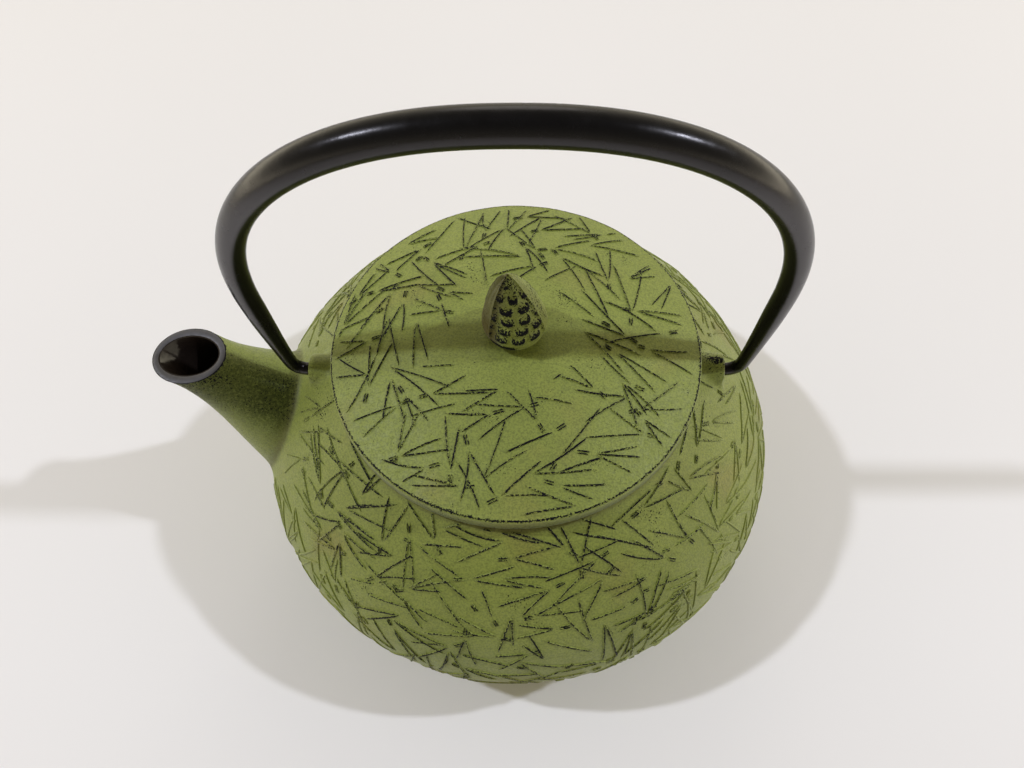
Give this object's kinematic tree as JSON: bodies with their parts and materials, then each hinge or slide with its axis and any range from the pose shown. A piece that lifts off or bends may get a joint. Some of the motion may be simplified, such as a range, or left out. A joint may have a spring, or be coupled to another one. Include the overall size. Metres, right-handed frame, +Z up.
{
  "type": "cast iron teapot",
  "caption": "Wide round cast iron teapot with a stub spout, arched bail handle on two lugs, domed lid with a pine cone knob, and a lift-out tea strainer.",
  "frame": {"origin": "on the ground under the middle of the pot's round foot", "axes": "+Z up; the spout points to -X; the handle's pivot pegs lie along X"},
  "size_m": [0.1717, 0.15, 0.1609],
  "materials": {
    "painted_iron": "matte moss green paint over sand-cast iron",
    "black_enamel": "glossy fired enamel",
    "bare_iron": "bare dark iron",
    "black_lacquer": "semi-gloss black lacquer",
    "stainless_sheet": "satin stainless sheet",
    "stainless_mesh": "fine stainless mesh"
  },
  "bodies": {
    "pot": {"pot_casting": "painted_iron", "enamel_lining": "black_enamel"},
    "bail": {"handle": "black_lacquer"},
    "strainer": {"strainer_rim": "stainless_sheet", "strainer_mesh_wall": "stainless_mesh", "strainer_base_band": "stainless_sheet", "strainer_mesh_floor": "stainless_mesh"},
    "knob": {"lid_knob": "painted_iron", "knob_rivet": "bare_iron", "knob_washer": "stainless_sheet"},
    "lid": {"lid_casting": "painted_iron"}
  },
  "joints": [
    {"name": "handle_swing", "type": "hinge", "parent": "pot", "child": "bail", "pos_m": [0, 0, 0.0702], "axis": [1, 0, 0], "range_deg": [-108, 108]},
    {"name": "strainer_lift", "type": "slide", "parent": "pot", "child": "strainer", "axis": [0, 0, 1], "range_m": [0, 0.038]},
    {"name": "lid_lift", "type": "slide", "parent": "strainer", "child": "knob", "axis": [0, 0, 1], "range_m": [0, 0.038]},
    {"name": "lid_turn", "type": "hinge", "parent": "knob", "child": "lid", "pos_m": [0, 0, 0.08], "axis": [0, 0, 1], "continuous": true}
  ]
}
